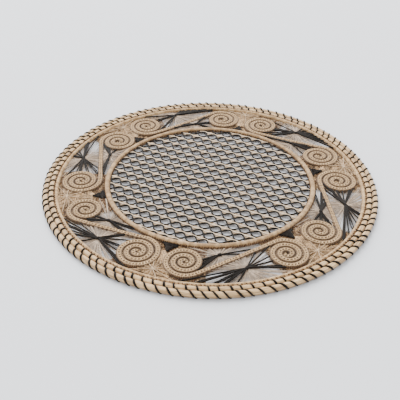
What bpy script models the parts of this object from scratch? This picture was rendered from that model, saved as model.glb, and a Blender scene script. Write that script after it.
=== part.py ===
"""Round openwork placemat, coiled, sewn and netted from palm fibre.

From the outside in: two coiled rim rows, a wrapped border ring, twelve
spirals joined in six S-shaped scrolls, a wrapped centre ring and a square net.
Dark and pale strands fan out from knots between the scrolls and the rings.

Metres, +Z up. The origin is the mat's centre, on the surface that it lies on.
Bearings are degrees anticlockwise from +X, seen from above.
"""
from collections import namedtuple
from math import asin, atan2, ceil, cos, floor, pi, radians, sin

import bpy
from mathutils import Vector

MM = 0.001
TURN = 2 * pi
OBJECT_NAME = "round_palm_placemat"

# Driving sizes
MAT_RADIUS = 190 * MM
GAP = 0.35 * MM                     # between neighbours that touch
RIM_WIDTH, RIM_HEIGHT = 6.0 * MM, 6.4 * MM
RIM_STITCHES = 108                  # round each row
STITCH_PINCH = 0.86                 # a row's size where a stitch draws it in
BORDER_WIDTH, BORDER_HEIGHT = 4.3 * MM, 5.4 * MM
SCROLL_WIDTH, SCROLL_HEIGHT = 6.5 * MM, 5.0 * MM
SCROLL_PITCH = 7.2 * MM             # from one turn of a spiral to the next
SPIRAL_EYE = 3.9 * MM               # a spiral's first radius
CROSSING_PINCH = 0.86               # how far a scroll is drawn in between its spirals
CENTRE_WIDTH, CENTRE_HEIGHT = 6.0 * MM, 6.4 * MM
CENTRE_LINE = 118.2 * MM            # radius of the centre ring

# Places that follow from them
RIM_OUTER_LINE = MAT_RADIUS - RIM_WIDTH / 2
RIM_INNER_LINE = RIM_OUTER_LINE - RIM_WIDTH - GAP
BORDER_LINE = RIM_INNER_LINE - (RIM_WIDTH + BORDER_WIDTH) / 2 - GAP
BORDER_INSIDE = BORDER_LINE - BORDER_WIDTH / 2
CENTRE_OUTSIDE = CENTRE_LINE + CENTRE_WIDTH / 2
NET_RADIUS = CENTRE_LINE - CENTRE_WIDTH / 2 - GAP

# How finely round things are divided
RING_STEPS = 60
SPIRAL_STEPS = 14                   # a turn, so that the turns' corners line up

# Spirals: a pair on each of six axes, one clockwise and one anticlockwise of it.
# The hand that wound them left each a little different.
FIRST_PAIR_BEARING = 191.3
PAIR_STEP = 60.0
Spiral = namedtuple("Spiral", "bearing_from_axis centre_radius outer_radius")
CLOCKWISE_SPIRALS = [
    Spiral(-9.3, 148.8 * MM, 25.2 * MM),
    Spiral(-11.1, 147.6 * MM, 25.8 * MM),
    Spiral(-10.4, 149.4 * MM, 24.5 * MM),
    Spiral(-10.8, 148.8 * MM, 25.2 * MM),
    Spiral(-9.2, 146.9 * MM, 24.2 * MM),
    Spiral(-7.5, 149.4 * MM, 24.5 * MM),
]
ANTICLOCKWISE_SPIRALS = [
    Spiral(12.8, 147.7 * MM, 22.5 * MM),
    Spiral(8.5, 144.7 * MM, 24.0 * MM),
    Spiral(9.8, 146.4 * MM, 23.9 * MM),
    Spiral(11.1, 145.0 * MM, 25.2 * MM),
    Spiral(11.9, 145.8 * MM, 24.6 * MM),
    Spiral(12.7, 143.0 * MM, 24.7 * MM),
]

# Fans: strands that leave a knot, clear of what is round them. Directions are
# degrees anticlockwise from straight out, and a group is spread evenly.
GAP_AXIS_OFFSET = 30.0              # from a pair's axis to the gap after it
FAN_ROOM = 0.6 * MM                 # from a strand to the cords round it
Layer = namedtuple("Layer", "bottom top strand_width")
PALE_LAYER = Layer(1.2 * MM, 2.2 * MM, 1.0 * MM)
DARK_LAYER = Layer(2.6 * MM, 3.8 * MM, 1.4 * MM)
WEB_LAYER = Layer(2.6 * MM, 3.8 * MM, 2.2 * MM)
Group = namedtuple("Group", "first_direction last_direction strands")
Fan = namedtuple("Fan", "name reach layer groups")
OUTER_FANS = [
    Fan("outer_fan_dark", 50 * MM, DARK_LAYER, [Group(-88, -36, 5), Group(84, 148, 5)]),
    Fan("outer_fan_pale", 44 * MM, PALE_LAYER, [Group(-12, 70, 5), Group(162, 250, 5)]),
]
INNER_FANS = [
    Fan("inner_fan_dark", 34 * MM, DARK_LAYER, [Group(-84, -46, 4), Group(86, 110, 3)]),
    Fan("inner_fan_pale", 30 * MM, PALE_LAYER, [Group(-28, 68, 4), Group(136, 244, 3)]),
]
WEB_FANS = [Fan("inner_web_dark", 15 * MM, WEB_LAYER, [Group(-165, 165, 9)])]
SEAM_FANS = [Fan("outer_web_pale", 24 * MM, PALE_LAYER, [Group(-82, 180, 6)])]

# Knots, from the axis of their gap: beside the rim, and beside the net
Knot = namedtuple("Knot", "bearing_from_axis radius")
OUTER_KNOTS = [
    Knot(2.2, 158.1 * MM),
    Knot(1.7, 155.1 * MM),
    Knot(1.7, 155.1 * MM),
    Knot(3.3, 158.3 * MM),
    Knot(5.4, 160.7 * MM),
    Knot(3.1, 159.2 * MM),
]
INNER_KNOTS = [
    Knot(-4.7, 133.5 * MM),
    Knot(-7.4, 132.6 * MM),
    Knot(-7.3, 133.6 * MM),
    Knot(-2.2, 133.1 * MM),
    Knot(-3.5, 132.2 * MM),
    Knot(-3.9, 132.3 * MM),
]
WEB_KNOT_RADIUS = 127.4 * MM        # a web's knot, midway between two spirals
SEAM_KNOT_RADIUS = 163.0 * MM       # the knot outside it, beside the border

# Net: square openings on two pitches that are a few degrees off square, and
# that drift a little as the rows and columns go on
NET_BOTTOM, NET_TOP = 1.6 * MM, 4.0 * MM
NET_OPENING = 8.6 * MM
NET_EDGE = 1.2 * MM                 # left uncut inside the net's rim
SMALLEST_CUT = 0.45                 # the share of an opening that is worth cutting
ROW_PITCH, ROW_BEARING = 13.4 * MM, -27.3
COLUMN_PITCH, COLUMN_BEARING = 14.0 * MM, 61.2
FIRST_OPENING = Vector((-1.2 * MM, 4.3 * MM))
DRIFT_ALONG_TWICE = Vector((0.017 * MM, -0.011 * MM))
DRIFT_ALONG_ACROSS = Vector((0.061 * MM, -0.045 * MM))
DRIFT_ACROSS_TWICE = Vector((0.016 * MM, 0.077 * MM))

# Finishes: sRGB colours as linear values, and roughness
NATURAL_FIBRE = ("natural_fibre", (0.60, 0.42, 0.25, 1.0), 0.62)
CREAM_FIBRE = ("cream_fibre", (0.74, 0.64, 0.50, 1.0), 0.66)
DARK_FIBRE = ("dark_fibre", (0.022, 0.019, 0.018, 1.0), 0.48)


def clear_scene():
    """Removes everything that the start-up file holds."""
    for item in list(bpy.data.objects):
        bpy.data.objects.remove(item, do_unlink=True)


def new_collection(name):
    collection = bpy.data.collections.new(name)
    bpy.context.scene.collection.children.link(collection)
    return collection


def new_material(finish):
    name, colour, roughness = finish
    material = bpy.data.materials.new(name)
    material.use_nodes = True
    shader = material.node_tree.nodes["Principled BSDF"]
    shader.inputs["Base Color"].default_value = colour
    shader.inputs["Roughness"].default_value = roughness
    shader.inputs["Metallic"].default_value = 0.0
    material.diffuse_color = colour
    return material


def at_bearing(radius, bearing):
    """The point at a radius from the mat's centre, on a bearing in degrees."""
    angle = radians(bearing)
    return Vector((radius * cos(angle), radius * sin(angle)))


def add_spline(curve, points, cyclic, scales=None):
    """Adds straight runs through flat points, at the height of the curve's object."""
    spline = curve.splines.new("POLY")
    spline.points.add(len(points) - 1)
    for index, (x, y) in enumerate(points):
        spline.points[index].co = (x, y, 0, 1)
        spline.points[index].radius = scales[index] if scales else 1.0
    spline.use_cyclic_u = cyclic


def round_outline(width, height):
    """A round-shouldered cord that stands on a flat foot."""
    foot, waist, hip = 0.34 * width, 0.5 * width, 0.42 * height
    return [(foot, 0), (-foot, 0), (-waist, hip), (0, height), (waist, hip)]


def double_outline(width, height):
    """Two cords sewn side by side, with the groove of their seam on top."""
    foot, lobe, groove = 0.5 * width, 0.26 * width, 0.72 * height
    return [(foot, 0), (-foot, 0), (-lobe, height), (0, groove), (lobe, height)]


def cord_section(name, outline, guides):
    """The outline that a cord keeps along its whole length."""
    curve = bpy.data.curves.new(name, "CURVE")
    curve.dimensions = "2D"
    curve.fill_mode = "NONE"
    add_spline(curve, outline, cyclic=True)
    guide = bpy.data.objects.new(name, curve)
    guide.hide_render = True
    guide.display_type = "WIRE"
    guides.objects.link(guide)
    return guide


def swept_cord(name, line, section, material, parts, cyclic=False, scales=None):
    """A cord of one section along a flat line, with closed ends."""
    curve = bpy.data.curves.new(name, "CURVE")
    curve.dimensions = "3D"
    curve.twist_mode = "Z_UP"
    curve.bevel_mode = "OBJECT"
    curve.bevel_object = section
    curve.use_fill_caps = not cyclic
    add_spline(curve, line, cyclic, scales)
    cord = bpy.data.objects.new(name, curve)
    curve.materials.append(material)
    parts.objects.link(cord)
    return cord


def flat_piece(name, outlines, bottom, top, material, parts):
    """A flat piece with its outlines' holes cut through, between two heights."""
    curve = bpy.data.curves.new(name, "CURVE")
    curve.dimensions = "2D"
    curve.fill_mode = "BOTH"
    curve.extrude = (top - bottom) / 2
    for outline in outlines:
        add_spline(curve, outline, cyclic=True)
    piece = bpy.data.objects.new(name, curve)
    piece.location.z = (top + bottom) / 2
    curve.materials.append(material)
    parts.objects.link(piece)
    return piece


def circle(radius, steps):
    return [at_bearing(radius, 360 * step / steps) for step in range(steps)]


def build_rim(material, parts, guides):
    """Two rows of coil, drawn in wherever a stitch goes round."""
    section = cord_section("rim_section", round_outline(RIM_WIDTH, RIM_HEIGHT), guides)
    scales = [STITCH_PINCH, 1.0] * RIM_STITCHES
    for name, radius in (("rim_outer_row", RIM_OUTER_LINE), ("rim_inner_row", RIM_INNER_LINE)):
        line = circle(radius, len(scales))
        swept_cord(name, line, section, material, parts, cyclic=True, scales=scales)


def build_rings(material, parts, guides):
    """The wrapped cords round the scrolls and round the net."""
    outline = round_outline(BORDER_WIDTH, BORDER_HEIGHT)
    border = cord_section("border_section", outline, guides)
    line = circle(BORDER_LINE, RING_STEPS)
    swept_cord("border_ring", line, border, material, parts, cyclic=True)
    outline = round_outline(CENTRE_WIDTH, CENTRE_HEIGHT)
    centre = cord_section("centre_section", outline, guides)
    line = circle(CENTRE_LINE, RING_STEPS)
    swept_cord("centre_ring", line, centre, material, parts, cyclic=True)


def spiral_points(centre, last_radius, last_angle):
    """Points of a spiral that winds anticlockwise from its eye to its last point."""
    steps = floor((last_radius - SPIRAL_EYE) / SCROLL_PITCH * SPIRAL_STEPS)
    points = []
    for step in range(steps, -1, -1):
        turned = step / SPIRAL_STEPS
        radius = last_radius - turned * SCROLL_PITCH
        angle = last_angle - turned * TURN
        points.append(centre + radius * Vector((cos(angle), sin(angle))))
    return points


def scroll_line(start, start_axis, end, end_axis):
    """An S: out of the first spiral, across the gap and into the second.

    The cord leaves the first spiral on its rim side and reaches the second on
    its net side, so the crossing is the circles' inner common tangent.
    """
    first = at_bearing(start.centre_radius, start_axis + start.bearing_from_axis)
    second = at_bearing(end.centre_radius, end_axis + end.bearing_from_axis)
    first_radius = start.outer_radius - SCROLL_WIDTH / 2
    second_radius = end.outer_radius - SCROLL_WIDTH / 2
    across = second - first
    heading = atan2(across.y, across.x) + asin((first_radius + second_radius) / across.length)
    rim_side = heading - pi / 2
    net_side = heading + pi / 2
    outward = spiral_points(first, first_radius, rim_side)
    inward = spiral_points(second, second_radius, net_side)[::-1]
    return outward + inward


def all_scroll_lines():
    lines = []
    for pair, start in enumerate(ANTICLOCKWISE_SPIRALS):
        following = (pair + 1) % len(CLOCKWISE_SPIRALS)
        start_axis = FIRST_PAIR_BEARING + pair * PAIR_STEP
        end_axis = start_axis + PAIR_STEP
        lines.append(scroll_line(start, start_axis, CLOCKWISE_SPIRALS[following], end_axis))
    return lines


def build_scrolls(lines, material, parts, guides):
    outline = double_outline(SCROLL_WIDTH, SCROLL_HEIGHT)
    section = cord_section("scroll_section", outline, guides)
    for number, line in enumerate(lines, start=1):
        runs = [(after - before).length for before, after in zip(line, line[1:])]
        crossing = runs.index(max(runs))
        scales = [1.0] * len(line)
        scales[crossing] = scales[crossing + 1] = CROSSING_PINCH
        swept_cord(f"scroll_{number}", line, section, material, parts, scales=scales)


def distance_to_run(point, start, end):
    """How far a point is from the straight run between two others."""
    run = end - start
    along = (point - start).dot(run) / run.length_squared
    return (point - start - min(max(along, 0), 1) * run).length


def free_length(knot, direction, half_width, reach, lines):
    """How far a strand runs from its knot before it comes up to a cord."""
    length = 0
    while length < reach:
        point = knot + length * direction
        radius = point.length
        room = min(BORDER_INSIDE - radius, radius - CENTRE_OUTSIDE)
        for line in lines:
            nearest = min(distance_to_run(point, *run) for run in zip(line, line[1:]))
            room = min(room, nearest - SCROLL_WIDTH / 2)
        room -= FAN_ROOM + half_width
        if room < 0.1 * MM:
            break
        length += room
    return min(length, reach)


def fan_outline(fan, knot, lines):
    """The outline of a knot with its strands, fused where their edges meet."""
    straight_out = atan2(knot.y, knot.x)
    half = fan.layer.strand_width / 2
    angles = []
    for first, last, strands in fan.groups:
        step = (last - first) / (strands - 1)
        angles += [straight_out + radians(first + number * step) for number in range(strands)]
    outline = []
    for number, angle in enumerate(angles):
        direction = Vector((cos(angle), sin(angle)))
        side = Vector((-direction.y, direction.x))
        tip = knot + free_length(knot, direction, half, fan.reach, lines) * direction
        to_next = (angles[(number + 1) % len(angles)] - angle) % TURN
        fork = Vector((cos(angle + to_next / 2), sin(angle + to_next / 2)))
        outline += [tip - half * side, tip + half * side, knot + half / sin(to_next / 2) * fork]
    return outline


def build_fans(lines, dark, pale, parts):
    """Every gap's fans of strands, and the small webs between two spirals."""
    for pair in range(len(lines)):
        axis = FIRST_PAIR_BEARING + pair * PAIR_STEP
        sides = (CLOCKWISE_SPIRALS[pair], ANTICLOCKWISE_SPIRALS[pair])
        between = axis + sum(side.bearing_from_axis for side in sides) / 2
        beside = [lines[pair], lines[pair - 1]]
        outer, inner = OUTER_KNOTS[pair], INNER_KNOTS[pair]
        gap = axis + GAP_AXIS_OFFSET
        outer_knot = at_bearing(outer.radius, gap + outer.bearing_from_axis)
        inner_knot = at_bearing(inner.radius, gap + inner.bearing_from_axis)
        placed = [(fan, outer_knot) for fan in OUTER_FANS]
        placed += [(fan, inner_knot) for fan in INNER_FANS]
        placed += [(fan, at_bearing(WEB_KNOT_RADIUS, between)) for fan in WEB_FANS]
        placed += [(fan, at_bearing(SEAM_KNOT_RADIUS, between)) for fan in SEAM_FANS]
        for fan, knot in placed:
            material = pale if fan.layer is PALE_LAYER else dark
            outline = fan_outline(fan, knot, beside)
            name = f"{fan.name}_{pair + 1}"
            flat_piece(name, [outline], fan.layer.bottom, fan.layer.top, material, parts)


def area_of(outline):
    turned = zip(outline, outline[1:] + outline[:1])
    return sum(here.x * there.y - there.x * here.y for here, there in turned) / 2


def net_openings():
    """Corners of each opening, drawn in where it would run into the net's rim."""
    row = at_bearing(1, ROW_BEARING)
    column = at_bearing(1, COLUMN_BEARING)
    corners = [(-1, -1), (1, -1), (1, 1), (-1, 1)]
    furthest = NET_RADIUS - NET_EDGE
    count = ceil(NET_RADIUS / ROW_PITCH)
    openings = []
    for across in range(-count, count + 1):
        for along in range(-count, count + 1):
            centre = FIRST_OPENING + along * ROW_PITCH * row + across * COLUMN_PITCH * column
            centre += along * along * DRIFT_ALONG_TWICE + along * across * DRIFT_ALONG_ACROSS
            centre += across * across * DRIFT_ACROSS_TWICE
            if centre.length > furthest:
                continue
            whole = [centre + NET_OPENING / 2 * (x * row + y * column) for x, y in corners]
            outline = [corner * min(1, furthest / corner.length) for corner in whole]
            if area_of(outline) > SMALLEST_CUT * area_of(whole):
                openings.append(outline)
    return openings


def build_net(material, parts):
    outlines = [circle(NET_RADIUS, RING_STEPS)] + net_openings()
    flat_piece("centre_net", outlines, NET_BOTTOM, NET_TOP, material, parts)


def main():
    clear_scene()
    parts = new_collection(OBJECT_NAME)
    guides = new_collection("guides")
    natural = new_material(NATURAL_FIBRE)
    cream = new_material(CREAM_FIBRE)
    dark = new_material(DARK_FIBRE)
    lines = all_scroll_lines()
    build_rim(natural, parts, guides)
    build_rings(natural, parts, guides)
    build_scrolls(lines, natural, parts, guides)
    build_fans(lines, dark, cream, parts)
    build_net(cream, parts)


main()
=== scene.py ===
"""A round woven placemat: coiled rim, wrapped scrolls, fans of strands and an open net."""

import logging
import random
from collections.abc import Callable, Iterable, Sequence
from dataclasses import dataclass, field
from enum import Enum
from functools import cache, partial
from math import asin, atan2, copysign, cos, degrees, floor, hypot, pi, radians, sin

import bmesh
import bpy
from bmesh.types import BMesh
from bpy.types import Material, Mesh, Node, NodeSocket, Object
from mathutils import Matrix, Vector

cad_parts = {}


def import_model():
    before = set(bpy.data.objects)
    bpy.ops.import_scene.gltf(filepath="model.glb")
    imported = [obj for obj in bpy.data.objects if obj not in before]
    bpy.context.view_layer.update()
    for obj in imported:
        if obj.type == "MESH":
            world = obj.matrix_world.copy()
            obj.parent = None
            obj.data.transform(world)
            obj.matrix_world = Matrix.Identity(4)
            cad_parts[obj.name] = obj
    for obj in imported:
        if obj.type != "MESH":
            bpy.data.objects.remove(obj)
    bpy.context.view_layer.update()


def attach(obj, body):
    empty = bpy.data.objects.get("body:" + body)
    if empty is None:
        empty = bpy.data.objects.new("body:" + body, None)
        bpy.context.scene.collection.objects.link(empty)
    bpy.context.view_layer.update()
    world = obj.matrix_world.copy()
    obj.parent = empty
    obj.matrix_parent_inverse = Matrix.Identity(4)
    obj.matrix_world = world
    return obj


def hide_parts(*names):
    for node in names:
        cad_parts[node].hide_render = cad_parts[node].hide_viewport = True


MM = 0.001
TURN = 2 * pi
ROOT = "root"
PAIRS = 6
PAIR_STEP = 360 / PAIRS
FIRST_PAIR_BEARING = 191.3
LOBE_POINTS = 8
SORTING_SLOPE = Vector((1.0, 0.6173, 0.3271))
Colour = Corner = tuple[float, float, float]
Line = list[tuple[Vector, float]]
Sweep = tuple[float, float, int]
log = logging.getLogger("placemat")


class Slot(Enum):
    """The record's material slots."""

    NATURAL = "natural_fibre"
    CREAM = "cream_fibre"
    DARK = "dark_fibre"


# --- shader maths


class Signal:
    """One output socket, with arithmetic that adds its own Math nodes."""

    def __init__(self, graph: "Graph", socket: NodeSocket) -> None:
        """Wraps an output socket of a graph."""
        self.graph = graph
        self.socket = socket

    def __add__(self, other: "Signal | float") -> "Signal":
        """Adds."""
        return self.graph.maths("ADD", self, other)

    def __sub__(self, other: "Signal | float") -> "Signal":
        """Subtracts."""
        return self.graph.maths("SUBTRACT", self, other)

    def __rsub__(self, other: float) -> "Signal":
        """Subtracts from a number."""
        return self.graph.maths("SUBTRACT", other, self)

    def __mul__(self, other: "Signal | float") -> "Signal":
        """Multiplies."""
        return self.graph.maths("MULTIPLY", self, other)

    def __pow__(self, other: "Signal | float") -> "Signal":
        """Raises to a power."""
        return self.graph.maths("POWER", self, other)

    def __abs__(self) -> "Signal":
        """Drops the sign."""
        return self.graph.maths("ABSOLUTE", self)

    __radd__ = __add__
    __rmul__ = __mul__

    def clamped(self) -> "Signal":
        """Keeps the value between 0 and 1."""
        return self.graph.maths("MINIMUM", self.graph.maths("MAXIMUM", self, 0.0), 1.0)

    def spread(self, gain: float) -> "Signal":
        """Widened round its middle and held between 0 and 1."""
        return ((self - 0.5) * gain + 0.5).clamped()

    def wave(self) -> "Signal":
        """The value's sine, moved to 0 to 1."""
        return self.graph.maths("SINE", self) * 0.5 + 0.5


class Graph:
    """A material's node tree, built from one shader outwards."""

    def __init__(self, name: str, roughness: float, specular: float, sheen: float) -> None:
        """Starts a material with constants on the shader's own sockets.

        Args:
            name: The material's name.
            roughness: Roughness where nothing varies it.
            specular: Specular level.
            sheen: Weight of the soft sheen of loose fibres.
        """
        self.material = bpy.data.materials.new(name)
        self.material.use_nodes = True
        self.tree = self.material.node_tree
        self.shader = self.tree.nodes["Principled BSDF"]
        self.set("Roughness", roughness)
        self.set("Specular IOR Level", specular)
        self.set("Sheen Weight", sheen)
        self.set("Sheen Roughness", 0.5)

    def set(self, socket: str, value: "Signal | float | Colour") -> None:
        """Gives one of the shader's sockets a value or a link."""
        self._feed(self.shader.inputs[socket], value)

    def _feed(self, socket: NodeSocket, value: object) -> None:
        """Links a signal to a socket, or sets the socket's own value.

        Args:
            socket: The socket.
            value: A signal, a number or a colour.
        """
        if isinstance(value, Signal):
            self.tree.links.new(value.socket, socket)
        elif isinstance(value, tuple) and len(socket.default_value) == 4:
            socket.default_value = (*value, 1.0)
        else:
            socket.default_value = value

    def add(self, kind: str, settings: dict[str, object], inputs: dict) -> Node:
        """Adds any node.

        Args:
            kind: The node's type, such as "ShaderNodeTexNoise".
            settings: Properties that are set first.
            inputs: Values or signals by socket name or number.

        Returns:
            The node.
        """
        node = self.tree.nodes.new(kind)
        for key, value in settings.items():
            setattr(node, key, value)
        for key, value in inputs.items():
            self._feed(node.inputs[key], value)
        return node

    def maths(self, operation: str, *values: "Signal | float") -> Signal:
        """Adds a Math node."""
        node = self.add("ShaderNodeMath", {"operation": operation}, dict(enumerate(values)))
        return Signal(self, node.outputs[0])

    def vector(self, x: "Signal | float", y: "Signal | float", z: "Signal | float") -> Signal:
        """Joins three numbers into a vector."""
        return Signal(self, self.add("ShaderNodeCombineXYZ", {}, {0: x, 1: y, 2: z}).outputs[0])

    def parts(self, vector: Signal) -> list[Signal]:
        """Splits a vector into its three numbers."""
        node = self.add("ShaderNodeSeparateXYZ", {}, {0: vector})
        return [Signal(self, output) for output in node.outputs]

    def place(self, kind: str = "Object") -> Signal:
        """Coordinates: Object, which are the mat's own, or UV."""
        return Signal(self, self.add("ShaderNodeTexCoord", {}, {}).outputs[kind])

    def surface(self) -> list[Signal]:
        """The piece's own UV map, in metres: along it, and round or across it."""
        return self.parts(self.place("UV"))[:2]

    def depth(self, height: float) -> Signal:
        """How far below a height a place is: 0 at that height and 1 on the table."""
        return 1 - self.parts(self.place())[2] * (1 / height)

    def attribute(self, name: str) -> Signal:
        """A number that is stored on the mesh."""
        node = self.add("ShaderNodeAttribute", {"attribute_name": name}, {})
        return Signal(self, node.outputs["Fac"])

    def noise(self, vector: Signal, scale: float = 1.0, detail: float = 2.0) -> Signal:
        """Soft noise from 0 to 1, a little stretched for contrast.

        Args:
            vector: Where it is read.
            scale: How fine it is.
            detail: How many finer layers it has.

        Returns:
            The noise.
        """
        inputs = {"Vector": vector, "Scale": scale, "Detail": detail, "Roughness": 0.55}
        node = self.add("ShaderNodeTexNoise", {}, inputs)
        return (Signal(self, node.outputs[0]) * 1.9 - 0.45).clamped()

    def grain(self, fine_along: float, fine_across: float, shift: float = 0.0,
              detail: float = 2.0) -> Signal:
        """Noise that is stretched on the piece's own map.

        Args:
            fine_along: How fine it is along the piece.
            fine_across: How fine it is across it.
            shift: Sets it apart from other grain.
            detail: How many finer layers it has.

        Returns:
            The noise.
        """
        along, across = self.surface()
        stretched = self.vector(along * fine_along, across * fine_across, shift)
        return self.noise(stretched, detail=detail)

    def mix(self, factor: "Signal | float", first: "Signal | Colour",
            second: "Signal | Colour") -> Signal:
        """Mixes two colours.

        Args:
            factor: How much of the second there is.
            first: A colour.
            second: The other colour.

        Returns:
            The mixed colour.
        """
        settings = {"data_type": "RGBA", "clamp_factor": True}
        node = self.add("ShaderNodeMix", settings, {0: factor, 6: first, 7: second})
        return Signal(self, node.outputs[2])

    def relief(self, height: Signal, depth: float) -> None:
        """Feeds a height through a Bump node to the shader's Normal."""
        inputs = {"Height": height, "Distance": depth, "Strength": 1.0}
        self.set("Normal", Signal(self, self.add("ShaderNodeBump", {}, inputs).outputs[0]))


# --- finishes


@dataclass(frozen=True)
class CoilFinish:
    """Split palm laid along the rim, pinched where it is stitched, with painted shade in the
    pinches and low on its sides.
    """

    name: str = "coiled_palm"
    slot: Slot = Slot.NATURAL
    pale: Colour = (0.74, 0.50, 0.245)
    deep: Colour = (0.33, 0.195, 0.085)
    # The colour of the painted shade.
    shade_colour: Colour = (0.09, 0.045, 0.018)
    roughness: float = 0.56
    shade_height: float = 4.2 * MM

    def material(self) -> Material:
        """Builds the material: streaks along the row, one tone to each pinched length.

        Returns:
            The material.
        """
        graph = Graph(self.name, self.roughness, 0.35, 0.15)
        streaks = graph.grain(55, 1300, detail=3.0)
        bands = graph.grain(30, 330, 7.0)
        tone = graph.noise(graph.vector(graph.attribute("length_number") * 3.7, 0.0, 0.0))
        fibre = (streaks * 0.55 + bands * 0.2 + tone * 0.25).spread(3.4)
        # Painted shade: darker in the pinched creases by the stitches and towards the table.
        low = graph.depth(self.shade_height).clamped() ** 0.5
        painted_shade = (graph.attribute("crease") * 0.75 + low * 0.7).clamped()
        colour = graph.mix(fibre, self.pale, self.deep)
        graph.set("Base Color", graph.mix(painted_shade, colour, self.shade_colour))
        graph.set("Roughness", streaks * 0.18 + (self.roughness - 0.08))
        graph.relief(streaks * 0.8 + bands, 0.6 * MM)
        return graph.material


@dataclass(frozen=True)
class WrapFinish:
    """Cord wrapped close with narrow split fibre, with painted shade between its wraps.

    A cord with a seam has painted shade in the seam and beyond its shoulders, and any other
    one below its flank, there broken into dashes.
    """

    name: str
    pale: Colour = (0.80, 0.545, 0.285)
    deep: Colour = (0.36, 0.21, 0.09)
    # The colour of the painted shade.
    shade_colour: Colour = (0.085, 0.042, 0.017)
    slot: Slot = Slot.NATURAL
    wrap: float = 1.15 * MM
    dash: float = 3.4 * MM
    # flank, seam, seam_half and shoulder say where the painted shade lies.
    flank: float = 3.0 * MM
    seam: float | None = None
    seam_half: float = 0.11
    shoulder: float = 0.175

    def material(self) -> Material:
        """Builds the material: wraps across the cord, and painted shade in its seam and flanks.

        Returns:
            The material.
        """
        graph = Graph(self.name, 0.62, 0.22, 0.1)
        along, round_it = graph.surface()
        wander = graph.grain(140, 90)
        wraps = (along * (TURN / self.wrap) + wander * 5.0).wave()
        patches = graph.grain(210, 60, 3.0, 3.0)
        colour = graph.mix(wraps * 0.4 + patches.spread(3.2) * 0.6, self.deep, self.pale)
        # Painted shade: below the flank in dashes, or in the seam's groove and down past the
        # shoulders.
        if self.seam is None:
            dashes = (along * (TURN / self.dash) + wander * 4.0).wave() ** 1.5
            painted_shade = (graph.depth(self.flank) * 5.0).clamped() * (dashes * 0.6 + 0.4)
        else:
            away = abs(round_it - self.seam)
            seam = ((1 - away * (1 / self.seam_half)) * 3.0).clamped()
            low = ((away + patches * 0.12 - 0.06 - self.shoulder) * 18.0).clamped()
            painted_shade = seam + low * (patches.spread(3.0) * 0.45 + 0.55)
        # More painted shade in the hollows between the wraps.
        painted_shade = (painted_shade + (1 - wraps) ** 3.0 * 0.3).clamped()
        graph.set("Base Color", graph.mix(painted_shade, colour, self.shade_colour))
        graph.relief(wraps + patches * 0.5, 0.4 * MM)
        return graph.material


@dataclass(frozen=True)
class StrandFinish:
    """Loose strands of one dye lot."""

    name: str
    slot: Slot
    pale: Colour
    deep: Colour
    roughness: float = 0.65
    specular: float = 0.2
    grain: float = 420.0

    def material(self) -> Material:
        """Builds the material: a fine grain that changes from strand to strand.

        Returns:
            The material.
        """
        graph = Graph(self.name, self.roughness, self.specular, 0.1)
        place = graph.place()
        grain = graph.noise(place, self.grain, 4.0).spread(2.2)
        lots = graph.noise(place, 120.0, 1.0).spread(2.2)
        graph.set("Base Color", graph.mix(grain * 0.6 + lots * 0.4, self.deep, self.pale))
        graph.set("Roughness", grain * 0.2 + (self.roughness - 0.1))
        graph.relief(grain, 0.15 * MM)
        return graph.material


@dataclass(frozen=True)
class BandFinish:
    """The net's cream bands: soft fibre that runs across each band."""

    name: str = "cream_band"
    slot: Slot = Slot.CREAM
    pale: Colour = (0.70, 0.52, 0.33)
    deep: Colour = (0.24, 0.155, 0.085)
    # The colour of the painted shade.
    shade_colour: Colour = (0.16, 0.09, 0.045)

    def material(self) -> Material:
        """Builds the material: folds across the band and painted shade towards its edges.

        Returns:
            The material.
        """
        graph = Graph(self.name, 0.66, 0.3, 0.2)
        folds = graph.grain(620, 240, detail=3.0).spread(3.2)
        lots = graph.grain(110, 110, 5.0)
        colour = graph.mix(folds * 0.7 + lots * 0.3, self.deep, self.pale)
        # Painted shade: darker towards the band's edges, where it curves down.
        painted_shade = graph.attribute("edge") ** 3.0 * 0.5
        graph.set("Base Color", graph.mix(painted_shade, colour, self.shade_colour))
        graph.relief(folds, 0.35 * MM)
        return graph.material


@dataclass(frozen=True)
class FloorFinish:
    """A plain pale floor."""

    name: str = "pale_floor"
    colour: Colour = (0.75, 0.768, 0.80)

    def material(self) -> Material:
        """Builds the material.

        Returns:
            The material.
        """
        graph = Graph(self.name, 0.8, 0.2, 0.0)
        cloud = graph.noise(graph.place(), 6.0)
        darker = tuple(part * 0.985 for part in self.colour)
        graph.set("Base Color", graph.mix(cloud, self.colour, darker))
        return graph.material


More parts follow.
